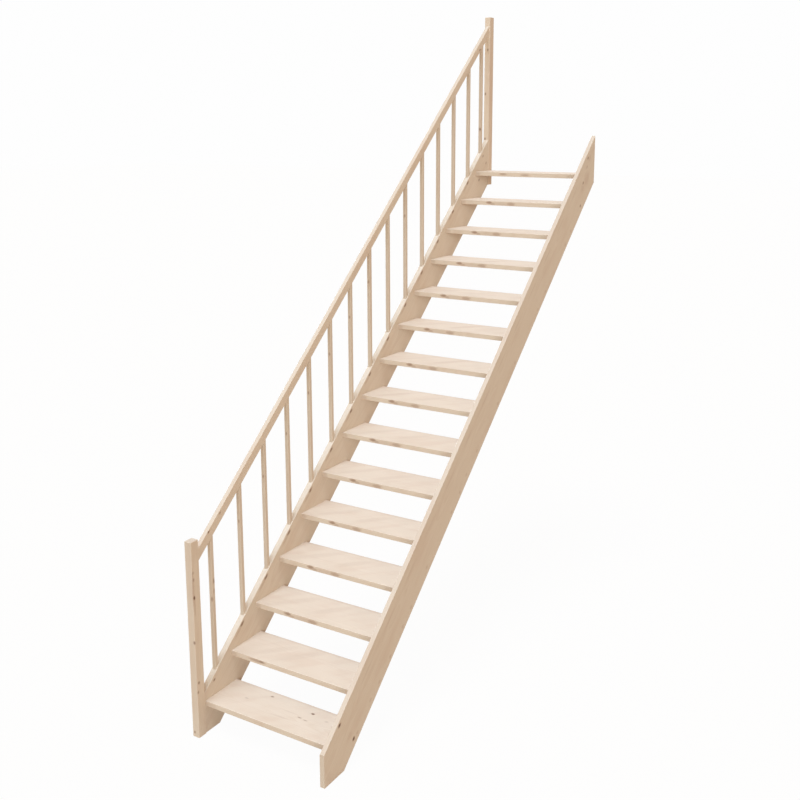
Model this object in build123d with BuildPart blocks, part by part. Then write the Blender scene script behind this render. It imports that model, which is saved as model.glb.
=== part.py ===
"""Straight open-riser timber stair: treads housed in two stringers, with newels, a handrail and raked
balusters along the left side. Millimetres. x = 0 is the wall face of the right stringer, y = 0 the first
nosing and z = 0 the floor; the flight climbs towards +Y."""
import math
import os

from build123d import *

os.makedirs("parts", exist_ok=True)

# Flight
step_count = 15
rise = 200.0
first_rise = 195.0
going = 227.0
front_reach = 66.0
top_reach = 252.0

# Treads
tread_depth = 266.0
tread_thickness = 31.0
tread_top_ease = 1.2
tread_lower_ease = 2.5
clear_width = 835.0

# Stringers
right_stringer_thickness = 28.0
left_stringer_thickness = 37.0
stringer_depth = 258.0
stringer_margin = 51.0
housing_depth = 12.0

# Newels
newel_width = 46.0
newel_depth = 58.0
newel_over_rail = 65.0
newel_behind_cut = 14.0

# Handrail
rail_height = 906.0
rail_width = 27.0
rail_depth = 55.0

# Balusters
baluster_side = 23.0
baluster_setback = 134.0
first_baluster_setback = 110.0
last_baluster_setback = 109.0

# Joinery and edges
tenon_length = 26.0
tenon_thickness_share = 0.4
tenon_height_share = 0.6
edge_ease = 1.5
rail_ease = 3.0
cut_overrun = 10.0

# Derived places
slope = rise / going
rake = math.hypot(rise, going) / going
last_nosing = going * (step_count - 1)
front_plane = -front_reach
top_plane = last_nosing + top_reach
right_inner = -right_stringer_thickness
left_inner = right_inner - clear_width
left_outer = left_inner - left_stringer_thickness
left_centre = (left_inner + left_outer) / 2
lower_joint = front_plane + newel_depth
newel_back = top_plane + newel_behind_cut
upper_joint = newel_back - newel_depth
newel_inner = left_centre + newel_width / 2
tread_left = left_inner - housing_depth
tread_length = clear_width + 2 * housing_depth


def nosing_height(y):
    return first_rise + slope * y


def stringer_top(y):
    return nosing_height(y) + stringer_margin


def stringer_low(y):
    return stringer_top(y) - stringer_depth * rake


def rail_top(y):
    return nosing_height(y) + rail_height


def rail_low(y):
    return rail_top(y) - rail_depth * rake


def tread_front(step):
    return going * step


def tread_run(step):
    """Depth of a tread; the top one is trimmed to the plane of the top plumb cuts."""
    return min(tread_depth, top_plane - tread_front(step))


def stringer_outline(start, end):
    """Side view of a stringer with its floor cut, from one plumb cut to the other."""
    heel = (stringer_depth * rake - stringer_margin - first_rise) / slope
    return [
        (start, 0),
        (heel, 0),
        (end, stringer_low(end)),
        (end, stringer_top(end)),
        (start, stringer_top(start)),
    ]


# Middle height and height of each tenon, at its shoulder
lower_stringer_tenon = (stringer_top(lower_joint) / 2, stringer_top(lower_joint) * tenon_height_share)
upper_stringer_tenon = (
    (stringer_top(upper_joint) + stringer_low(upper_joint)) / 2,
    stringer_depth * rake * tenon_height_share,
)
rail_tenon_height = rail_depth * rake * tenon_height_share
lower_rail_tenon = ((rail_top(lower_joint) + rail_low(lower_joint)) / 2, rail_tenon_height)
upper_rail_tenon = ((rail_top(upper_joint) + rail_low(upper_joint)) / 2, rail_tenon_height)
stringer_tenon_thickness = left_stringer_thickness * tenon_thickness_share
rail_tenon_thickness = rail_width * tenon_thickness_share

# Treads
for step in range(step_count):
    name = f"tread_{step + 1:02d}"
    board_depth = tread_run(step)
    board_middle = tread_front(step) + board_depth / 2
    board_height = nosing_height(tread_front(step)) - tread_thickness / 2
    with BuildPart() as tread:
        with BuildSketch(Plane.YZ.offset(tread_left)) as section:
            with Locations((board_middle, board_height)):
                Rectangle(board_depth, tread_thickness)
            fillet(section.vertices().group_by(Axis.X)[0].sort_by(Axis.Y)[-1], tread_top_ease)
            fillet(section.vertices().group_by(Axis.X)[0].sort_by(Axis.Y)[0], tread_lower_ease)
        extrude(amount=tread_length)
        if tread_front(step) + board_depth > upper_joint:
            notch_width = newel_inner - tread_left + cut_overrun
            notch_depth = top_plane - upper_joint + cut_overrun
            with BuildSketch(Plane.XY.offset(board_height - tread_thickness)):
                with Locations((newel_inner - notch_width / 2, upper_joint + notch_depth / 2)):
                    Rectangle(notch_width, notch_depth)
            extrude(amount=2 * tread_thickness, mode=Mode.SUBTRACT)
    tread.part.label = name
    export_step(tread.part, f"parts/{name}.step")

# Right stringer, against the wall, with the housings in its inner face
with BuildPart() as right_stringer:
    with BuildSketch(Plane.YZ.offset(right_inner)):
        with BuildLine():
            Polyline(stringer_outline(front_plane, top_plane), close=True)
        make_face()
    extrude(amount=right_stringer_thickness)
    chamfer(right_stringer.edges().sort_by(SortBy.LENGTH)[-4:], edge_ease)
    with BuildSketch(Plane.YZ.offset(right_inner - cut_overrun)):
        for step in range(step_count):
            reaches_end = tread_front(step) + tread_run(step) >= top_plane
            run = tread_run(step) + (cut_overrun if reaches_end else 0)
            middle = nosing_height(tread_front(step)) - tread_thickness / 2
            with Locations((tread_front(step) + run / 2, middle)):
                Rectangle(run, tread_thickness)
    extrude(amount=housing_depth + cut_overrun, mode=Mode.SUBTRACT)
right_stringer.part.label = "right_stringer"
export_step(right_stringer.part, "parts/right_stringer.step")

# Left stringer, between the newels, with housings and a stub tenon at each end
with BuildPart() as left_stringer:
    with BuildSketch(Plane.YZ.offset(left_outer)):
        with BuildLine():
            Polyline(stringer_outline(lower_joint, upper_joint), close=True)
        make_face()
    extrude(amount=left_stringer_thickness)
    chamfer(left_stringer.edges().sort_by(SortBy.LENGTH)[-4:], edge_ease)
    with BuildSketch(Plane.YZ.offset(tread_left)):
        for step in range(step_count):
            reaches_end = tread_front(step) + tread_run(step) >= upper_joint
            run = tread_run(step)
            if reaches_end:
                run = upper_joint + cut_overrun - tread_front(step)
            middle = nosing_height(tread_front(step)) - tread_thickness / 2
            with Locations((tread_front(step) + run / 2, middle)):
                Rectangle(run, tread_thickness)
    extrude(amount=housing_depth + cut_overrun, mode=Mode.SUBTRACT)
    with BuildSketch(Plane.XZ.offset(-lower_joint)):
        with Locations((left_centre, lower_stringer_tenon[0])):
            Rectangle(stringer_tenon_thickness, lower_stringer_tenon[1])
    extrude(amount=tenon_length)
    with BuildSketch(Plane.XZ.offset(-upper_joint)):
        with Locations((left_centre, upper_stringer_tenon[0])):
            Rectangle(stringer_tenon_thickness, upper_stringer_tenon[1])
    extrude(amount=-tenon_length)
left_stringer.part.label = "left_stringer"
export_step(left_stringer.part, "parts/left_stringer.step")

# Lower newel, standing on the floor
with BuildPart() as lower_newel:
    with BuildSketch(Plane.XY) as post:
        with Locations((left_centre, front_plane + newel_depth / 2)):
            Rectangle(newel_width, newel_depth)
        chamfer(post.vertices(), edge_ease)
    extrude(amount=rail_top(lower_joint) + newel_over_rail)
    chamfer(lower_newel.faces().sort_by(Axis.Z)[-1].edges(), edge_ease)
    with BuildSketch(Plane.XZ.offset(-lower_joint - cut_overrun)):
        with Locations((left_centre, lower_stringer_tenon[0])):
            Rectangle(stringer_tenon_thickness, lower_stringer_tenon[1])
        with Locations((left_centre, lower_rail_tenon[0])):
            Rectangle(rail_tenon_thickness, lower_rail_tenon[1])
    extrude(amount=tenon_length + cut_overrun, mode=Mode.SUBTRACT)
lower_newel.part.label = "lower_newel"
export_step(lower_newel.part, "parts/lower_newel.step")

# Upper newel, its foot level with the stringer's lower edge and its back a little behind the plumb cuts
with BuildPart() as upper_newel:
    with BuildSketch(Plane.XY.offset(stringer_low(upper_joint))) as post:
        with Locations((left_centre, newel_back - newel_depth / 2)):
            Rectangle(newel_width, newel_depth)
        chamfer(post.vertices(), edge_ease)
    extrude(amount=rail_top(upper_joint) + newel_over_rail - stringer_low(upper_joint))
    chamfer(upper_newel.faces().sort_by(Axis.Z)[-1].edges(), edge_ease)
    with BuildSketch(Plane.XZ.offset(-upper_joint + cut_overrun)):
        with Locations((left_centre, upper_stringer_tenon[0])):
            Rectangle(stringer_tenon_thickness, upper_stringer_tenon[1])
        with Locations((left_centre, upper_rail_tenon[0])):
            Rectangle(rail_tenon_thickness, upper_rail_tenon[1])
    extrude(amount=-tenon_length - cut_overrun, mode=Mode.SUBTRACT)
upper_newel.part.label = "upper_newel"
export_step(upper_newel.part, "parts/upper_newel.step")

# Handrail, plumb cut against both newels
with BuildPart() as handrail:
    with BuildSketch(Plane.YZ.offset(left_centre - rail_width / 2)):
        with BuildLine():
            Polyline(
                [
                    (lower_joint, rail_low(lower_joint)),
                    (upper_joint, rail_low(upper_joint)),
                    (upper_joint, rail_top(upper_joint)),
                    (lower_joint, rail_top(lower_joint)),
                ],
                close=True,
            )
        make_face()
    extrude(amount=rail_width)
    chamfer(handrail.edges().sort_by(SortBy.LENGTH)[-4:], rail_ease)
    with BuildSketch(Plane.XZ.offset(-lower_joint)):
        with Locations((left_centre, lower_rail_tenon[0])):
            Rectangle(rail_tenon_thickness, lower_rail_tenon[1])
    extrude(amount=tenon_length)
    with BuildSketch(Plane.XZ.offset(-upper_joint)):
        with Locations((left_centre, upper_rail_tenon[0])):
            Rectangle(rail_tenon_thickness, upper_rail_tenon[1])
    extrude(amount=-tenon_length)
handrail.part.label = "handrail"
export_step(handrail.part, "parts/handrail.step")

# Balusters, one to each tread, cut on the rake at both ends
for step in range(step_count):
    name = f"baluster_{step + 1:02d}"
    setback = baluster_setback
    if step == 0:
        setback = first_baluster_setback
    if step == step_count - 1:
        setback = last_baluster_setback
    near = tread_front(step) + setback - baluster_side / 2
    far = near + baluster_side
    with BuildPart() as baluster:
        with BuildSketch(Plane.YZ.offset(left_centre - baluster_side / 2)):
            with BuildLine():
                Polyline(
                    [
                        (near, stringer_top(near)),
                        (far, stringer_top(far)),
                        (far, rail_low(far)),
                        (near, rail_low(near)),
                    ],
                    close=True,
                )
            make_face()
        extrude(amount=baluster_side)
        chamfer(baluster.edges().filter_by(Axis.Z), edge_ease)
    baluster.part.label = name
    export_step(baluster.part, f"parts/{name}.step")
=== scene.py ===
"""Looks of a straight open-riser softwood stair: planed boards with growth rings, fibres and knots.

Metres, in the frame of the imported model: x = 0 is the wall face of the right stringer, y = 0 the first
nosing, z = 0 the floor. Every board is cut out of a virtual log, so faces, edges and end grain agree.
"""
import math
from collections import namedtuple

import bpy
from mathutils import Euler, Matrix, Vector


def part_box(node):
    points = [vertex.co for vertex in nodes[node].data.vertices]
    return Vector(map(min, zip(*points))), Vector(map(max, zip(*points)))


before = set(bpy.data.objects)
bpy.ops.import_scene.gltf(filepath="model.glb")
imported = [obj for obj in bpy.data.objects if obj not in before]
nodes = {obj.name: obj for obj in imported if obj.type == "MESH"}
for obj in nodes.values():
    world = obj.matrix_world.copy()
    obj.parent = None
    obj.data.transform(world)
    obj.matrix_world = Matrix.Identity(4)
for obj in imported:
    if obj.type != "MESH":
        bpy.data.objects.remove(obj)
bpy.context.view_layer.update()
scene = bpy.context.scene

# Camera, at the photograph's viewing angle
camera_place = Vector((2.81245, -3.85074, 3.36757))
camera_pitch_down = 11.4060
camera_turn = 30.9875
camera_lens = 46.0011
sensor_width = 36.0
camera_shift = (-0.018023, -0.089667)

# Light: soft lamps far away, each with where it shines from, and a warm glow from all round. The low
# lamp at the back lights the sides that face away from the camera.
Lamp = namedtuple("Lamp", "name strength colour source softness")
lamps = [
    Lamp("overhead", 2.95, (0.785, 1.0, 1.235), Vector((0.0, -0.30, 0.95)), 25.0),
    Lamp("front", 0.36, (0.51, 1.0, 1.04), Vector((0.49, -0.83, 0.17)), 18.0),
    Lamp("side", 0.80, (0.96, 1.0, 1.06), Vector((0.80, -0.50, 0.17)), 18.0),
    Lamp("back", 1.15, (0.70, 0.86, 1.0), Vector((-0.85, 0.52, 0.045)), 5.0),
]
sky_strength = 0.41
sky_colour = (1.0, 0.61, 0.25, 1.0)
white = (1.0, 1.0, 1.0, 1.0)
backdrop_strength = 0.99
floor_colour = (0.59, 0.48, 0.38, 1.0)
floor_white_share = 0.97
floor_reach = 60.0
lamp_distance = 15.0

# Timber colours
earlywood = (0.716, 0.588, 0.468, 1.0)
latewood = (0.640, 0.498, 0.372, 1.0)
rosy = (0.655, 0.500, 0.385, 1.0)
# Pale tone of wear on the arrises, also laid as painted light over the left stringer's top face
worn_and_painted_light = (0.760, 0.645, 0.530, 1.0)
# Reddish stain of knots, also laid as painted shade along the top edges of the right stringer and handrail
stain_and_painted_shade = (0.410, 0.248, 0.166, 1.0)
knot_dark = (0.130, 0.068, 0.040, 1.0)

# Rings of the log: metres, how much they differ in width, and how dark a ring gets from its inside out
ring_width = 0.0040
ring_wander = 0.046
ring_unevenness = 2.4
ring_profile = [(0.0, 0.0), (0.40, 0.08), (0.86, 1.0), (1.0, 0.0)]
knot_push = 0.010

# Shares and shades of what lies on the plain timber
streak_share = 0.35
blush_fade = (0.45, 0.66)
blush_share = 0.55
latewood_share = 0.42
fibre_fade = (0.25, 0.75)
fibre_shades = (0.965, 1.025)
end_grain_facing = 0.72
end_grain_shade = 0.94
rubbing_and_painted_light_reach = 0.004
edge_wear = 0.35
# Painted light: how strongly the pale tone is laid over the left stringer's top face, against the
# handrail's shadow there
left_top_painted_light = 0.75

# Where a mark's rim, its core and the bend of the rings round it fade, in half sizes from its middle
rim_fade = (0.45, 1.35)
core_fade = (0.25, 0.95)
push_fade = (0.8, 3.0)
ragged_least = 0.6
ragged_range = 0.8

# How fine each pattern is, in repeats per metre along the grain and across it
wander_scale = (1.3, 4.0, 4.0)
unevenness_scale = (0.2, 16.0, 16.0)
fibre_scale = (14.0, 800.0, 800.0)
streak_scale = (0.8, 22.0, 22.0)
streak_detail = 3.0
figure_scale = (3.2, 13.0, 13.0)
rub_scale = (25.0, 60.0, 60.0)
ragged_scale = (60.0, 110.0, 110.0)
seed_spread = (3.17, 1.31, 2.23)

# Gloss and relief
wood_gloss = 0.2
wood_roughness = 0.62
latewood_polish = 0.07
worn_polish = 0.06
core_polish = 0.12
ring_relief = 0.5
fibre_relief = 0.5
core_sink = 0.6
bump_strength = 0.15
bump_depth = 0.0006

# Places worked out from the frame
first_low, first_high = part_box("tread_01")
last_low, last_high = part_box("tread_15")
step_count = sum(name.startswith("tread_") for name in nodes)
going = (last_low.y - first_low.y) / (step_count - 1)
rise = (last_high.z - first_high.z) / (step_count - 1)
step_length = math.hypot(going, rise)
rake_angle = math.atan2(rise, going)

# A board: where its own axes lie, the pith of its log, the corners of its section on y and z, how pale it
# is, and how strongly its arrises are paled: wear, and on the left stringer painted light as well
Board = namedtuple("Board", "origin turn pith seed low high paleness wear", defaults=[edge_wear])

# A knot, a stain or a patch of painted shade: its middle and half size on the board's axes, how red its rim
# and how dark its core
Mark = namedtuple("Mark", "place half red dark")


class NodeBuilder:
    """Adds nodes to one tree and links them by what feeds each socket."""

    def __init__(self, tree):
        self.tree = tree

    def add(self, kind, settings=None, **feeds):
        node = self.tree.nodes.new(kind)
        for name, value in (settings or {}).items():
            setattr(node, name, value)
        for name, value in feeds.items():
            self.feed(node.inputs[name.replace("_", " ")], value)
        return node

    def feed(self, socket, value):
        if isinstance(value, bpy.types.NodeSocket):
            self.tree.links.new(value, socket)
        else:
            socket.default_value = value

    def math(self, operation, first, second=0.0, third=0.0):
        node = self.tree.nodes.new("ShaderNodeMath")
        node.operation = operation
        for socket, value in zip(node.inputs, (first, second, third)):
            self.feed(socket, value)
        return node.outputs[0]

    def vector(self, operation, first, second=(0.0, 0.0, 0.0)):
        node = self.tree.nodes.new("ShaderNodeVectorMath")
        node.operation = operation
        self.feed(node.inputs[0], first)
        self.feed(node.inputs[1], second)
        return node.outputs["Value" if operation in ("LENGTH", "DOT_PRODUCT") else "Vector"]

    def noise(self, vector, scale, detail=2.0):
        stretched = self.vector("MULTIPLY", vector, scale)
        return self.add("ShaderNodeTexNoise", Vector=stretched, Scale=1.0, Detail=detail).outputs["Fac"]

    def smooth(self, value, low, high, to_low=0.0, to_high=1.0):
        node = self.tree.nodes.new("ShaderNodeMapRange")
        node.interpolation_type = "SMOOTHSTEP"
        for socket, number in zip(node.inputs, (value, low, high, to_low, to_high)):
            self.feed(socket, number)
        return node.outputs[0]

    def mix(self, factor, first, second, blend="MIX"):
        node = self.tree.nodes.new("ShaderNodeMix")
        node.data_type = "RGBA"
        node.blend_type = blend
        self.feed(node.inputs["Factor"], factor)
        first_colour, second_colour = node.inputs[6:8]
        self.feed(first_colour, first)
        self.feed(second_colour, second)
        return node.outputs[2]

    def shade(self, colour, value):
        grey = self.add("ShaderNodeCombineColor", Red=value, Green=value, Blue=value).outputs[0]
        return self.mix(1.0, colour, grey, "MULTIPLY")

    def ramp(self, factor, stops):
        node = self.tree.nodes.new("ShaderNodeValToRGB")
        elements = node.color_ramp.elements
        while len(elements) < len(stops):
            elements.new(1.0)
        for element, (position, level) in zip(elements, stops):
            element.position = position
            element.color = (level, level, level, 1.0)
        self.feed(node.inputs[0], factor)
        return node.outputs["Color"]


def new_group(name, inputs, outputs):
    """An empty node group with its sockets, each named with its kind."""
    group = bpy.data.node_groups.new(name, "ShaderNodeTree")
    for way, sockets in (("INPUT", inputs), ("OUTPUT", outputs)):
        for socket, kind in sockets.items():
            group.interface.new_socket(socket, in_out=way, socket_type="NodeSocket" + kind)
    build = NodeBuilder(group)
    return group, build, build.add("NodeGroupInput").outputs


def make_mark_group():
    """One knot, stain or patch of painted shade, laid over those before it."""
    layers = {"Rim": "Float", "Core": "Float", "Push": "Float"}
    group, build, given = new_group(
        "knot",
        {
            "Board": "Vector",
            "Place": "Vector",
            "Shrink": "Vector",
            "Red": "Float",
            "Dark": "Float",
            **layers,
        },
        layers,
    )
    torn = build.noise(given["Board"], ragged_scale)
    ragged = build.math("MULTIPLY_ADD", torn, ragged_range, ragged_least)
    offset = build.vector("SUBTRACT", given["Board"], given["Place"])
    away = build.vector("MULTIPLY", offset, given["Shrink"])
    distance = build.math("MULTIPLY", build.vector("LENGTH", away), ragged)
    rim = build.math("MULTIPLY", build.smooth(distance, *rim_fade, 1.0, 0.0), given["Red"])
    core = build.math("MULTIPLY", build.smooth(distance, *core_fade, 1.0, 0.0), given["Dark"])
    push = build.math("MULTIPLY", build.smooth(distance, *push_fade, 1.0, 0.0), given["Dark"])
    build.add(
        "NodeGroupOutput",
        Rim=build.math("MAXIMUM", rim, given["Rim"]),
        Core=build.math("MAXIMUM", core, given["Core"]),
        Push=build.math("MAXIMUM", push, given["Push"]),
    )
    return group


def make_softwood_group():
    """Solid softwood: rings round the pith of a virtual log, fibres, rosy streaks, knots and worn edges,
    with painted light and shade where a board is given them.
    """
    group, build, given = new_group(
        "softwood",
        {
            "Board": "Vector",
            "Pith": "Vector",
            "Seed": "Vector",
            "Paleness": "Float",
            "Wear": "Float",
            "Figure": "Vector",
            "Low": "Vector",
            "High": "Vector",
            "Grain": "Vector",
            "Rim": "Float",
            "Core": "Float",
            "Push": "Float",
        },
        {"Color": "Color", "Roughness": "Float", "Height": "Float"},
    )
    board = given["Board"]
    seeded = build.vector("ADD", board, given["Seed"])

    # Rings: distance from the pith, bent by slow waves along the log and round each knot
    wander = build.noise(seeded, wander_scale)
    sway = build.math("MULTIPLY_ADD", wander, ring_wander, -ring_wander / 2)
    from_pith = build.vector("MULTIPLY", build.vector("SUBTRACT", board, given["Pith"]), (0.0, 1.0, 1.0))
    radius = build.math("ADD", build.vector("LENGTH", from_pith), sway)
    radius = build.math("MULTIPLY_ADD", given["Push"], knot_push, radius)
    uneven = build.noise(seeded, unevenness_scale)
    phase = build.math("MULTIPLY_ADD", uneven, ring_unevenness, build.math("DIVIDE", radius, ring_width))
    late = build.ramp(build.math("FRACT", phase), ring_profile)

    # Fibres along the grain, and rosy streaks along the figure
    fibre = build.noise(seeded, fibre_scale)
    streak = build.noise(seeded, streak_scale, streak_detail)
    figure = build.noise(build.vector("ADD", given["Figure"], given["Seed"]), figure_scale)
    figure_part = build.math("MULTIPLY", figure, 1.0 - streak_share)
    blush = build.smooth(build.math("MULTIPLY_ADD", streak, streak_share, figure_part), *blush_fade)

    tone = build.mix(build.math("MULTIPLY", blush, blush_share), earlywood, rosy)
    tone = build.mix(build.math("MULTIPLY", late, latewood_share), tone, latewood)
    tone = build.shade(tone, build.smooth(fibre, *fibre_fade, *fibre_shades))
    tone = build.shade(tone, given["Paleness"])

    # End grain drinks more light; arrises are paler from rubbing, and on the left stringer the same pale
    # tone is painted light over its top face
    facing = build.add("ShaderNodeNewGeometry").outputs["Normal"]
    end = build.math("ABSOLUTE", build.vector("DOT_PRODUCT", facing, given["Grain"]))
    tone = build.shade(tone, build.smooth(end, end_grain_facing, 1.0, 1.0, end_grain_shade))
    inner = build.vector(
        "MINIMUM",
        build.vector("SUBTRACT", board, given["Low"]),
        build.vector("SUBTRACT", given["High"], board),
    )
    sides = build.add("ShaderNodeSeparateXYZ", Vector=inner).outputs
    arris = build.math("MAXIMUM", sides["Y"], sides["Z"])
    rub = build.noise(seeded, rub_scale)
    from_arris = build.math("MULTIPLY_ADD", rub, -rubbing_and_painted_light_reach, arris)
    rubbed_and_painted_light = build.smooth(from_arris, -rubbing_and_painted_light_reach / 2, rubbing_and_painted_light_reach, 1.0, 0.0)
    tone = build.mix(build.math("MULTIPLY", rubbed_and_painted_light, given["Wear"]), tone, worn_and_painted_light)

    # Knots and stains: a reddish rim that fades into the board, and a dark core; painted shade on some
    # boards is laid as such a rim
    tone = build.mix(given["Rim"], tone, stain_and_painted_shade)
    tone = build.mix(given["Core"], tone, knot_dark)

    rough = build.math("MULTIPLY_ADD", late, -latewood_polish, wood_roughness)
    rough = build.math("MULTIPLY_ADD", rubbed_and_painted_light, -worn_polish, rough)
    rough = build.math("MULTIPLY_ADD", given["Core"], -core_polish, rough)
    height = build.math("MULTIPLY_ADD", late, ring_relief, build.math("MULTIPLY", fibre, fibre_relief))
    height = build.math("MULTIPLY_ADD", given["Core"], -core_sink, height)
    build.add("NodeGroupOutput", Color=tone, Roughness=rough, Height=height)
    return group


softwood = make_softwood_group()
knot = make_mark_group()


def lay_marks(build, axes, marks, layers):
    """Lays knots, stains and patches of painted shade over the layers so far, on the axes they are placed
    in.
    """
    for mark in marks:
        laid = build.add(
            "ShaderNodeGroup",
            {"node_tree": knot},
            Board=axes,
            Place=mark.place,
            Shrink=tuple(1.0 / size for size in mark.half),
            Red=mark.red,
            Dark=mark.dark,
            **layers,
        )
        layers = {layer: laid.outputs[layer] for layer in layers}
    return layers


def wood_material(name, board, marks, smudges, figure_turn):
    """Softwood for one board: marks lie on the board's axes, smudges on axes turned with its figure."""
    material = bpy.data.materials.new(name)
    material.use_nodes = True
    material.node_tree.nodes.clear()
    build = NodeBuilder(material.node_tree)
    place = build.add("ShaderNodeTexCoord").outputs["Object"]
    axes = build.add(
        "ShaderNodeMapping",
        {"vector_type": "TEXTURE"},
        Vector=place,
        Location=board.origin,
        Rotation=board.turn,
    ).outputs[0]
    figure = build.add(
        "ShaderNodeMapping",
        {"vector_type": "TEXTURE"},
        Vector=axes,
        Rotation=(0.0, 0.0, figure_turn),
    ).outputs[0]
    layers = lay_marks(build, axes, marks, {"Rim": 0.0, "Core": 0.0, "Push": 0.0})
    layers = lay_marks(build, figure, smudges, layers)
    wood = build.add(
        "ShaderNodeGroup",
        {"node_tree": softwood},
        Board=axes,
        Figure=figure,
        Pith=board.pith,
        Seed=tuple(board.seed * spread for spread in seed_spread),
        Paleness=board.paleness,
        Wear=board.wear,
        Low=(0.0, *board.low),
        High=(0.0, *board.high),
        Grain=board.turn.to_matrix().col[0],
        **layers,
    )
    bump = build.add(
        "ShaderNodeBump",
        Strength=bump_strength,
        Distance=bump_depth,
        Height=wood.outputs["Height"],
    )
    shader = build.add(
        "ShaderNodeBsdfPrincipled",
        Base_Color=wood.outputs["Color"],
        Roughness=wood.outputs["Roughness"],
        Normal=bump.outputs["Normal"],
        Specular_IOR_Level=wood_gloss,
    )
    build.add("ShaderNodeOutputMaterial", Surface=shader.outputs[0])
    return material


def dress(name, board, marks=(), smudges=(), figure_turn=0.0):
    """Gives a node of the frame its board."""
    slots = nodes[name].data.materials
    slots.clear()
    slots.append(wood_material(name, board, marks, smudges, figure_turn))


def board_turn(grain, across):
    """Turn of a board's axes, from where its grain and its width point."""
    return Matrix((grain, across, grain.cross(across))).transposed().to_euler()


along_x = board_turn(Vector((1, 0, 0)), Vector((0, 1, 0)))
along_z = board_turn(Vector((0, 0, 1)), Vector((1, 0, 0)))
along_rake = board_turn(
    Vector((0, math.cos(rake_angle), math.sin(rake_angle))),
    Vector((0, -math.sin(rake_angle), math.cos(rake_angle))),
)

# Treads: x from the left end, y from the front, z from the top
tread_paleness = 1.03
tread_figure_turn = math.radians(45)
pith_back = 0.10
pith_back_sway = 0.07
pith_back_turn = 2.1
pith_below = 0.075
pith_below_sway = 0.02
pith_below_turn = 1.7
first_tread_marks = [
    # The first is darker at the left end of the front, beside the left stringer
    Mark((0.045, 0.0, -0.016), (0.050, 0.006, 0.018), 0.20, 0.0),
    Mark((0.308, 0.224, 0.0), (0.014, 0.008, 0.010), 0.45, 0.50),
    Mark((0.607, 0.202, 0.0), (0.013, 0.009, 0.010), 0.65, 0.90),
    Mark((0.564, 0.137, 0.0), (0.016, 0.006, 0.008), 0.42, 0.36),
    Mark((0.607, 0.131, 0.0), (0.016, 0.005, 0.008), 0.36, 0.28),
    Mark((0.192, 0.139, 0.0), (0.016, 0.008, 0.008), 0.26, 0.12),
    Mark((0.714, 0.179, 0.0), (0.014, 0.008, 0.008), 0.16, 0.10),
    Mark((0.487, 0.153, 0.0), (0.070, 0.006, 0.008), 0.10, 0.03),
    Mark((0.462, 0.090, 0.0), (0.075, 0.007, 0.008), 0.12, 0.04),
]
# Darker at the left end of each tread's front, beside the left stringer
left_end_mark = Mark((0.026, 0.0, -0.016), (0.028, 0.006, 0.018), 0.26, 0.0)
front_knot = Mark((0.248, 0.0, -0.012), (0.026, 0.006, 0.011), 0.74, 0.24)
front_knot_tail = Mark((0.276, 0.0, -0.020), (0.026, 0.006, 0.009), 0.46, 0.06)
front_band = Mark((0.350, 0.0, -0.018), (0.080, 0.006, 0.014), 0.20, 0.0)
front_stain = Mark((0.424, 0.0, -0.017), (0.038, 0.006, 0.014), 0.52, 0.08)
tread_marks = [left_end_mark, front_knot, front_knot_tail, front_band, front_stain]
top_tread_marks = [
    left_end_mark,
    Mark((0.248, 0.0, -0.013), (0.034, 0.006, 0.009), 0.50, 0.12),
    Mark((0.427, 0.0, -0.017), (0.038, 0.006, 0.010), 0.44, 0.08),
]
second_tread_marks = [
    left_end_mark,
    Mark((0.195, 0.0, -0.012), (0.060, 0.006, 0.010), 0.50, 0.12),
    Mark((0.232, 0.0, -0.011), (0.026, 0.006, 0.009), 0.66, 0.34),
]

# Slanting smudges on the treads: middle, half length and how strong
smudge_half_width = 0.030
smudge_half_depth = 0.012
first_tread_smudges = [((0.177, 0.115), 0.130, 0.07)]
second_tread_smudges = [((0.232, 0.135), 0.140, 0.12), ((0.387, 0.140), 0.165, 0.13)]
tread_smudges = [((0.207, 0.135), 0.160, 0.12), ((0.455, 0.145), 0.130, 0.14)]


def smudge_mark(middle, half_length, strength):
    """A long smudge along the tread's figure, on the axes turned with it."""
    along, across = math.cos(tread_figure_turn), math.sin(tread_figure_turn)
    x, y = middle
    place = (x * along + y * across, y * along - x * across, 0.0)
    return Mark(place, (half_length, smudge_half_width, smudge_half_depth), strength, 0.0)


def tread_pith(step):
    """Pith of a tread's log: back from its front and below its top, by an amount that differs a little."""
    back = pith_back + pith_back_sway * math.sin(step * pith_back_turn)
    below = pith_below + pith_below_sway * math.cos(step * pith_below_turn)
    return (0.0, back, -below)


def dress_treads():
    marks_by_step = {0: first_tread_marks, 1: second_tread_marks, step_count - 1: top_tread_marks}
    smudges_by_step = {0: first_tread_smudges, 1: second_tread_smudges}
    for step in range(step_count):
        name = f"tread_{step + 1:02d}"
        low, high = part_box(name)
        board = Board(
            origin=(low.x, low.y, high.z),
            turn=along_x,
            pith=tread_pith(step),
            seed=step + 1.0,
            low=(0.0, low.z - high.z),
            high=(high.y - low.y, 0.0),
            paleness=tread_paleness,
        )
        marks = marks_by_step.get(step, tread_marks)
        smudges = [smudge_mark(*smudge) for smudge in smudges_by_step.get(step, tread_smudges)]
        dress(name, board, marks, smudges, tread_figure_turn)


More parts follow.
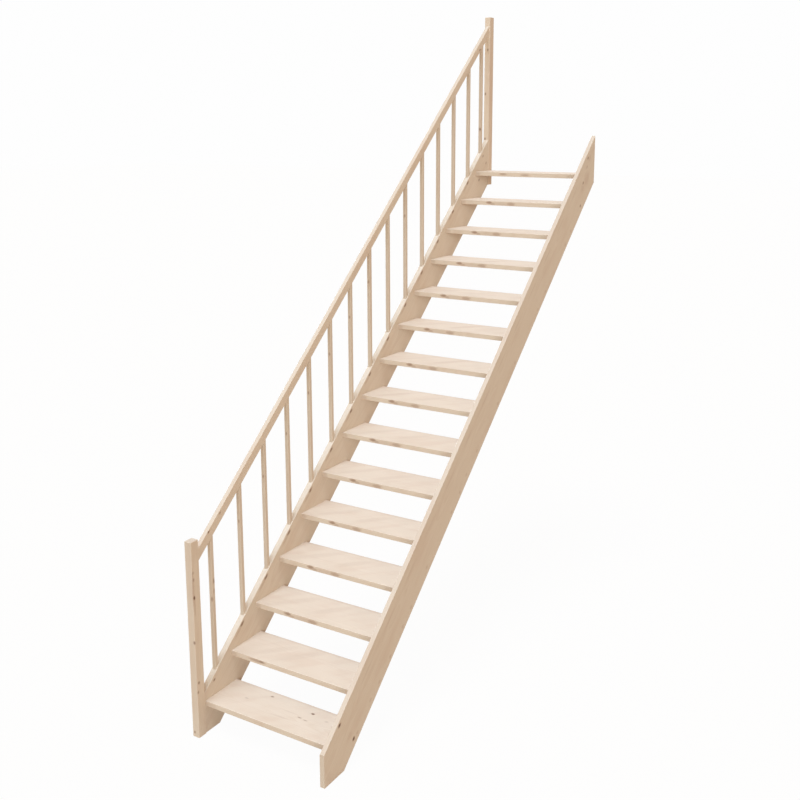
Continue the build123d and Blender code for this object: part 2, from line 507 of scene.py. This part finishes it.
# Stringers and handrail: x along the rake from the first nosing, y up from the line of nosings, z inwards
stringer_paleness = 0.97
stringer_depth = 0.258
stringer_pith = (0.0, -0.06, -0.11)
left_stringer_seed = 31.0
right_stringer_seed = 32.0
rail_paleness = 1.0
rail_depth = 0.055
rail_pith = (0.0, 0.58, -0.04)
rail_seed = 71.0
step_knot = Mark((0.1545, 0.022, 0.0), (0.025, 0.010, 0.010), 0.64, 0.60)
step_knot_tail = Mark((0.108, 0.018, 0.0), (0.046, 0.008, 0.010), 0.32, 0.0)
first_step_knot = Mark((0.117, 0.015, 0.0), (0.012, 0.008, 0.010), 0.60, 0.50)
growth_dash = Mark((0.430, -0.021, 0.0), (0.080, 0.008, 0.010), 0.16, 0.0)
# Painted shade along the top edges of the right stringer and handrail: where it lies, and how strong it is
# on each
painted_top_shade_middle = 2.2
painted_top_shade_half = (9.0, 0.003, 0.2)
stringer_top_painted_shade = 0.12
rail_top_painted_shade = 0.07
edge_spot_height = -0.185
edge_spot_sway = 0.008
edge_spot_turn = 40.0
edge_spot_half = (0.014, 0.010, 0.010)
edge_spot_red = 0.26
edge_spots = [
    0.15, 0.33, 0.44, 0.59, 0.77, 0.89, 1.14, 1.52, 1.66,
    1.78, 1.96, 2.33, 2.66, 3.12, 3.28, 3.72, 3.85,
]
foot_knots = [
    Mark((0.115, 0.018, 0.0), (0.017, 0.011, 0.010), 0.75, 0.98),
    Mark((0.113, -0.177, 0.0), (0.016, 0.011, 0.010), 0.75, 0.98),
    Mark((0.110, -0.125, 0.0), (0.026, 0.018, 0.010), 0.13, 0.0),
    Mark((-0.120, -0.090, 0.0), (0.030, 0.022, 0.010), 0.12, 0.0),
]
head_knots = [
    Mark((4.402, 0.004, 0.0), (0.016, 0.011, 0.010), 0.55, 0.48),
    Mark((4.226, -0.076, 0.0), (0.016, 0.011, 0.010), 0.55, 0.48),
    Mark((4.087, -0.170, 0.0), (0.015, 0.011, 0.010), 0.55, 0.45),
    Mark((4.350, -0.036, 0.0), (0.018, 0.010, 0.010), 0.34, 0.08),
    Mark((4.295, -0.095, 0.0), (0.055, 0.045, 0.010), 0.20, 0.0),
    Mark((4.430, -0.020, 0.0), (0.030, 0.022, 0.010), 0.18, 0.0),
    Mark((4.190, -0.095, 0.0), (0.035, 0.030, 0.010), 0.12, 0.04),
]
inner_head_knots = [
    Mark((4.404, 0.004, 0.0), (0.015, 0.010, 0.010), 0.42, 0.30),
    Mark((4.406, -0.071, 0.0), (0.014, 0.010, 0.010), 0.42, 0.30),
    Mark((4.237, -0.090, 0.0), (0.015, 0.010, 0.010), 0.55, 0.45),
]
rail_marks = [
    Mark((0.7065, 0.6707, 0.0), (0.013, 0.008, 0.008), 0.60, 0.62),
    Mark((0.8303, 0.6646, 0.0), (0.011, 0.007, 0.008), 0.45, 0.35),
    Mark((4.8790, 0.6394, 0.0), (0.014, 0.009, 0.008), 0.60, 0.65),
]


def on_face(marks, through):
    """The same marks on a face at another depth through the board."""
    return [mark._replace(place=(*mark.place[:2], through)) for mark in marks]


def moved_along(mark, distance):
    """The same mark further along the board."""
    x, y, z = mark.place
    return mark._replace(place=(x + distance, y, z))


def outer_marks():
    """Marks of the right stringer's outer face."""
    dashes = [moved_along(growth_dash, step_length * step) for step in range(step_count - 2)]
    spots = []
    for place in edge_spots:
        height = edge_spot_height + edge_spot_sway * math.sin(place * edge_spot_turn)
        spots.append(Mark((place, height, 0.0), edge_spot_half, edge_spot_red, 0.0))
    return foot_knots + head_knots + dashes + spots


def inner_marks():
    """Marks of the left stringer's inner face, a knot over every tread."""
    marks = [first_step_knot] + inner_head_knots
    for step in range(1, step_count - 1):
        distance = step_length * step
        marks += [moved_along(step_knot, distance), moved_along(step_knot_tail, distance)]
    return marks


def painted_top_shade(board, strength):
    """Painted shade all along the top edge of a board on the rake, whose slanting top the lamps light more
    than the treads' tops.
    """
    top, thickness = board.high
    return Mark((painted_top_shade_middle, top, thickness / 2), painted_top_shade_half, strength, 0.0)


def with_painted_light_top(board):
    """The same board with painted light over its top face: its pale arris tone laid from arris to arris, as
    if its section had no thickness, which pales its bottom face too.
    """
    middle = (board.low[1] + board.high[1]) / 2
    return board._replace(low=(board.low[0], middle), high=(board.high[0], middle), wear=left_top_painted_light)


def rake_board(name, end, depth, pith, seed, paleness):
    """A board along the rake, its top edge at full height at the plumb cut of its upper end."""
    low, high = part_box(name)
    top = (high.z - first_high.z - rise / going * end) * math.cos(rake_angle)
    return Board(
        origin=(low.x, 0.0, first_high.z),
        turn=along_rake,
        pith=pith,
        seed=seed,
        low=(top - depth, 0.0),
        high=(top, high.x - low.x),
        paleness=paleness,
    )


def dress_raked_boards():
    newel_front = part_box("upper_newel")[0].y
    plumb_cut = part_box("right_stringer")[1].y
    left = rake_board(
        "left_stringer", newel_front, stringer_depth, stringer_pith, left_stringer_seed, stringer_paleness
    )
    left_marks = on_face(inner_marks(), left.high[1]) + on_face(foot_knots + head_knots, 0.0)
    # The left stringer's top face is painted paler, painted light against the handrail's shadow on it
    dress("left_stringer", with_painted_light_top(left), left_marks)
    right = rake_board(
        "right_stringer", plumb_cut, stringer_depth, stringer_pith, right_stringer_seed, stringer_paleness
    )
    right_marks = on_face(outer_marks(), right.high[1])
    # The right stringer's and handrail's top edges get painted shade
    dress("right_stringer", right, right_marks + [painted_top_shade(right, stringer_top_painted_shade)])
    rail = rake_board("handrail", newel_front, rail_depth, rail_pith, rail_seed, rail_paleness)
    dress("handrail", rail, on_face(rail_marks, rail.high[1]) + [painted_top_shade(rail, rail_top_painted_shade)])


# Posts: x up from the foot, y in from the outer face, z back from the front
lower_newel_paleness = 1.0
# The upper newel is made paler: painted light against the shade the handrail and balusters throw on its
# front
upper_newel_painted_light = 1.14
newel_pith = (0.0, -0.03, 0.05)
lower_newel_seed = 41.0
upper_newel_seed = 42.0
lower_newel_marks = [
    Mark((0.838, 0.046, 0.010), (0.016, 0.008, 0.009), 0.80, 0.95),
    Mark((0.942, 0.046, 0.009), (0.014, 0.008, 0.009), 0.50, 0.28),
    Mark((0.982, 0.046, 0.008), (0.013, 0.008, 0.008), 0.40, 0.16),
    Mark((0.880, 0.046, 0.004), (0.110, 0.005, 0.009), 0.42, 0.0),
    Mark((0.790, 0.046, 0.012), (0.070, 0.005, 0.006), 0.36, 0.0),
    Mark((0.576, 0.041, 0.000), (0.013, 0.008, 0.008), 0.60, 0.50),
    Mark((0.330, 0.046, 0.016), (0.012, 0.008, 0.008), 0.55, 0.50),
    Mark((0.276, 0.046, 0.009), (0.011, 0.008, 0.008), 0.45, 0.30),
    Mark((0.028, 0.014, 0.000), (0.010, 0.008, 0.008), 0.50, 0.35),
]
upper_newel_marks = [
    Mark((1.024, 0.028, 0.0), (0.012, 0.007, 0.008), 0.55, 0.52),
    Mark((0.695, 0.012, 0.0), (0.012, 0.007, 0.008), 0.55, 0.52),
    Mark((0.353, 0.013, 0.0), (0.012, 0.007, 0.008), 0.55, 0.52),
    # A darker band over the whole inner face, which more than takes that painted light back off that face
    Mark((0.600, 0.046, 0.029), (1.400, 0.004, 0.080), 0.31, 0.0),
]
baluster_paleness = 0.95
baluster_pith_back = 0.05
baluster_pith_sway = 0.03
baluster_pith_turn = 1.3
first_baluster_seed = 50.0
baluster_knot = Mark((0.581, 0.014, 0.0), (0.013, 0.007, 0.007), 0.46, 0.24)
knotted_balusters = (2, 3, 4, 5, 6, 7, 8, 10)
end_baluster_marks = {
    1: [
        Mark((0.533, 0.023, 0.016), (0.018, 0.007, 0.007), 0.55, 0.34),
        Mark((0.475, 0.023, 0.014), (0.016, 0.007, 0.007), 0.42, 0.12),
        Mark((0.428, 0.018, 0.000), (0.017, 0.007, 0.007), 0.60, 0.30),
    ],
    15: [Mark((0.180, 0.014, 0.0), (0.016, 0.008, 0.008), 0.60, 0.75)],
}


def dress_post(name, pith, seed, paleness, marks):
    low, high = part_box(name)
    size = high - low
    dress(name, Board(low, along_z, pith, seed, (0.0, 0.0), (size.x, size.y), paleness), marks)


def baluster_marks(number):
    """Marks of one baluster, counted from the foot of the stair."""
    if number in knotted_balusters:
        return [baluster_knot]
    return end_baluster_marks.get(number, [])


def dress_posts():
    dress_post("lower_newel", newel_pith, lower_newel_seed, lower_newel_paleness, lower_newel_marks)
    dress_post("upper_newel", newel_pith, upper_newel_seed, upper_newel_painted_light, upper_newel_marks)
    for step in range(step_count):
        name = f"baluster_{step + 1:02d}"
        pith = (0.0, baluster_pith_sway * math.sin(step * baluster_pith_turn), baluster_pith_back)
        dress_post(name, pith, first_baluster_seed + step, baluster_paleness, baluster_marks(step + 1))


def seen_directly(build):
    """One where the camera, gloss or glass looks at a surface, and nought where it only gives light."""
    path = build.add("ShaderNodeLightPath").outputs
    seen = build.math("MAXIMUM", path["Is Camera Ray"], path["Is Glossy Ray"])
    return build.math("MAXIMUM", seen, path["Is Transmission Ray"])


def make_floor():
    """A wide pale floor, almost white to the camera, that keeps the stair's soft shadow."""
    mesh = bpy.data.meshes.new("floor")
    corners = [(-1, -1), (1, -1), (1, 1), (-1, 1)]
    mesh.from_pydata([(x * floor_reach, y * floor_reach, 0.0) for x, y in corners], [], [(0, 1, 2, 3)])
    floor = bpy.data.objects.new("floor", mesh)
    scene.collection.objects.link(floor)
    material = bpy.data.materials.new("floor_white")
    material.use_nodes = True
    material.node_tree.nodes.clear()
    build = NodeBuilder(material.node_tree)
    lit = build.add("ShaderNodeBsdfDiffuse", Color=floor_colour)
    glow = build.add("ShaderNodeEmission", Color=white, Strength=1.0)
    blend = build.add("ShaderNodeMixShader")
    build.feed(blend.inputs[0], build.math("MULTIPLY", seen_directly(build), floor_white_share))
    build.feed(blend.inputs[1], lit.outputs[0])
    build.feed(blend.inputs[2], glow.outputs[0])
    build.add("ShaderNodeOutputMaterial", Surface=blend.outputs[0])
    mesh.materials.append(material)


def make_sky():
    """An even glow all round, white where it is looked at."""
    world = bpy.data.worlds.new("studio")
    world.use_nodes = True
    world.node_tree.nodes.clear()
    build = NodeBuilder(world.node_tree)
    lighting = build.add("ShaderNodeBackground", Color=sky_colour, Strength=sky_strength)
    backdrop = build.add("ShaderNodeBackground", Color=white, Strength=backdrop_strength)
    blend = build.add("ShaderNodeMixShader")
    build.feed(blend.inputs[0], seen_directly(build))
    build.feed(blend.inputs[1], lighting.outputs[0])
    build.feed(blend.inputs[2], backdrop.outputs[0])
    build.add("ShaderNodeOutputWorld", Surface=blend.outputs[0])
    scene.world = world


def make_lamps():
    """Soft lamps so far away that they light the whole flight evenly."""
    for name, strength, colour, source, softness in lamps:
        lamp = bpy.data.lights.new(name, "SUN")
        lamp.energy = strength
        lamp.color = colour
        lamp.angle = math.radians(softness)
        holder = bpy.data.objects.new(name, lamp)
        holder.rotation_euler = source.to_track_quat("Z", "Y").to_euler()
        holder.location = source.normalized() * lamp_distance
        scene.collection.objects.link(holder)


def make_camera():
    camera = bpy.data.cameras.new("camera")
    camera.sensor_fit = "HORIZONTAL"
    camera.sensor_width = sensor_width
    camera.lens = camera_lens
    camera.shift_x, camera.shift_y = camera_shift
    camera.clip_end = 2 * floor_reach
    holder = bpy.data.objects.new("camera", camera)
    holder.location = camera_place
    holder.rotation_euler = Euler((math.radians(90.0 - camera_pitch_down), 0.0, math.radians(camera_turn)))
    scene.collection.objects.link(holder)
    scene.camera = holder


dress_treads()
dress_raked_boards()
dress_posts()
make_floor()
make_sky()
make_lamps()
make_camera()
scene.view_settings.view_transform = "Standard"
